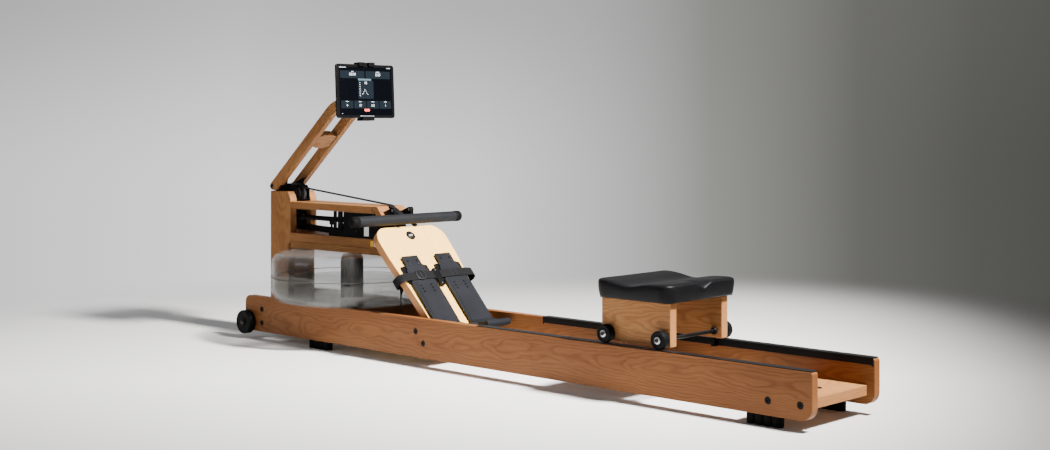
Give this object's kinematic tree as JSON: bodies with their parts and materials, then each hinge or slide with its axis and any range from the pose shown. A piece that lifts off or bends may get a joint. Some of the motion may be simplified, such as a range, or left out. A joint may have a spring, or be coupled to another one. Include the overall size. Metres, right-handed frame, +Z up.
{
  "type": "water rowing machine",
  "caption": "Wooden water-resistance rowing machine with a round clear tank, sliding seat, sloped footboard, pull handle and a folding display arm",
  "frame": {"origin": "on the floor, at the middle of the footprint", "axes": "+X along the rails towards the seat end, +Y to the far side, +Z up"},
  "size_m": [2.129, 0.499, 0.8709],
  "materials": {
    "oak": "satin oiled",
    "birch_ply": "satin lacquer",
    "black_rubber": "matte",
    "track_strip": "satin anodised",
    "steel": "brushed",
    "black_metal": "powder coat",
    "tank_plastic": "clear, glossy",
    "black_plastic": "fine texture",
    "grey_plastic": "fine texture",
    "webbing": "woven",
    "grip_rubber": "matte",
    "seat_foam": "moulded skin",
    "wheel_plastic": "satin",
    "screen_glass": "glossy"
  },
  "bodies": {
    "frame": {"rail_near": "oak", "rail_far": "oak", "front_cross_board": "oak", "rear_cross_board": "oak", "footboard_cross_bar": "oak", "rubber_foot_front_near": "black_rubber", "rubber_foot_front_far": "black_rubber", "rubber_foot_rear_near": "black_rubber", "rubber_foot_rear_far": "black_rubber", "track_near": "track_strip", "track_far": "track_strip", "transport_axle": "steel", "upright_near": "oak", "upright_far": "oak", "upper_deck": "oak", "deck_nose_board": "oak", "lower_deck": "oak", "tank_clamp_board": "oak", "handle_rest": "black_metal", "tank_upper_shell": "tank_plastic", "tank_lower_shell": "tank_plastic", "shaft_bearing": "steel", "tower_pulley_axle": "steel", "tower_bracket": "black_metal", "drum_bracket": "black_plastic", "drive_strap": "webbing", "recoil_bungee": "webbing", "footboard": "birch_ply", "foot_base": "black_plastic", "foot_strap": "webbing", "arm_bracket": "black_metal", "arm_pivot_bolt": "black_metal"},
    "transport_wheel_near": {"transport_wheel_near": "black_plastic"},
    "transport_wheel_far": {"transport_wheel_far": "black_plastic"},
    "tank_plug": {"tank_plug": "black_rubber"},
    "impeller": {"impeller": "grey_plastic"},
    "clutch_drum": {"clutch_drum": "black_plastic"},
    "tower_pulley": {"tower_pulley": "grey_plastic"},
    "lower_pulley": {"lower_pulley": "grey_plastic"},
    "recoil_pulley": {"recoil_pulley": "grey_plastic"},
    "handle": {"handle": "grip_rubber"},
    "foot_slider_near": {"foot_slider_near": "grey_plastic"},
    "foot_slider_far": {"foot_slider_far": "grey_plastic"},
    "seat": {"seat_plate_near": "oak", "seat_plate_far": "oak", "seat_base_board": "oak", "seat_cushion": "seat_foam", "seat_axle_front": "steel", "seat_axle_rear": "steel"},
    "seat_front_wheels": {"seat_wheel_front_near": "wheel_plastic", "seat_wheel_front_far": "wheel_plastic"},
    "seat_rear_wheels": {"seat_wheel_rear_near": "wheel_plastic", "seat_wheel_rear_far": "wheel_plastic"},
    "arm": {"arm_strip_near": "oak", "arm_strip_far": "oak", "arm_spreader": "oak"},
    "holder_knuckle": {"holder_knuckle": "black_plastic"},
    "tablet_holder": {"tablet_holder": "black_plastic", "tablet": "screen_glass"},
    "holder_jaw": {"holder_jaw": "black_plastic"}
  },
  "joints": [
    {"name": "seat_slide", "type": "slide", "parent": "frame", "child": "seat", "axis": [1, 0, 0], "range_m": [-0.405, 0.38]},
    {"name": "seat_front_wheel_roll", "type": "hinge", "parent": "seat", "child": "seat_front_wheels", "pos_m": [0.4545, 0, 0.1603], "axis": [0, 1, 0], "continuous": true},
    {"name": "seat_rear_wheel_roll", "type": "hinge", "parent": "seat", "child": "seat_rear_wheels", "pos_m": [0.6265, 0, 0.1603], "axis": [0, 1, 0], "continuous": true},
    {"name": "handle_pull", "type": "slide", "parent": "frame", "child": "handle", "axis": [0.9848, 0, 0.1736], "range_m": [0, 1.15], "deforming": ["drive_strap", "recoil_bungee"]},
    {"name": "tower_pulley_spin", "type": "hinge", "parent": "frame", "child": "tower_pulley", "pos_m": [-0.9615, 0, 0.4545], "axis": [0, 1, 0], "continuous": true},
    {"name": "lower_pulley_spin", "type": "hinge", "parent": "frame", "child": "lower_pulley", "pos_m": [-0.974, 0, 0.364], "axis": [0, 1, 0], "continuous": true},
    {"name": "recoil_pulley_spin", "type": "hinge", "parent": "frame", "child": "recoil_pulley", "pos_m": [-0.947, 0, 0.3825], "axis": [0, 0, 1], "continuous": true},
    {"name": "clutch_drum_spin", "type": "hinge", "parent": "frame", "child": "clutch_drum", "pos_m": [-0.6905, 0, 0.3519], "axis": [0, 0, 1], "continuous": true},
    {"name": "impeller_spin", "type": "hinge", "parent": "frame", "child": "impeller", "pos_m": [-0.6905, 0, 0.2125], "axis": [0, 0, 1], "continuous": true},
    {"name": "transport_wheel_near_roll", "type": "hinge", "parent": "frame", "child": "transport_wheel_near", "pos_m": [-1.0275, -0.1456, 0.052], "axis": [0, 1, 0], "continuous": true},
    {"name": "transport_wheel_far_roll", "type": "hinge", "parent": "frame", "child": "transport_wheel_far", "pos_m": [-1.0275, 0.1456, 0.052], "axis": [0, 1, 0], "continuous": true},
    {"name": "tank_plug_lift", "type": "slide", "parent": "frame", "child": "tank_plug", "axis": [0, 0, 1], "range_m": [0, 0.03]},
    {"name": "foot_slider_near_adjust", "type": "slide", "parent": "frame", "child": "foot_slider_near", "axis": [0.6816, 0, -0.7317], "range_m": [-0.045, 0.025]},
    {"name": "foot_slider_far_adjust", "type": "slide", "parent": "frame", "child": "foot_slider_far", "axis": [0.6816, 0, -0.7317], "range_m": [-0.045, 0.025]},
    {"name": "arm_fold", "type": "hinge", "parent": "frame", "child": "arm", "pos_m": [-1.031, 0, 0.4805], "axis": [0, 1, 0], "range_deg": [-70, 0]},
    {"name": "holder_tilt", "type": "hinge", "parent": "arm", "child": "holder_knuckle", "pos_m": [-0.688, 0, 0.7455], "axis": [0, 1, 0], "range_deg": [-30, 25]},
    {"name": "holder_roll", "type": "hinge", "parent": "holder_knuckle", "child": "tablet_holder", "pos_m": [-0.64385, -0.00056, 0.76124], "axis": [0.9985, 0.0331, 0.0436], "range_deg": [-90, 90]},
    {"name": "holder_jaw_slide", "type": "slide", "parent": "tablet_holder", "child": "holder_jaw", "axis": [0.0436, 0.0014, -0.999], "range_m": [0, 0.018], "stiffness_N_per_m": 400, "springref_m": -0.01}
  ],
  "couplings": [
    {"joint": "seat_front_wheel_roll", "follows": "seat_slide", "rad_per_m": 44.444},
    {"joint": "seat_rear_wheel_roll", "follows": "seat_slide", "rad_per_m": 44.444},
    {"joint": "tower_pulley_spin", "follows": "handle_pull", "rad_per_m": 40.65},
    {"joint": "lower_pulley_spin", "follows": "handle_pull", "rad_per_m": 82.645},
    {"joint": "clutch_drum_spin", "follows": "handle_pull", "rad_per_m": -24.155},
    {"joint": "recoil_pulley_spin", "follows": "handle_pull", "rad_per_m": -39.97}
  ]
}
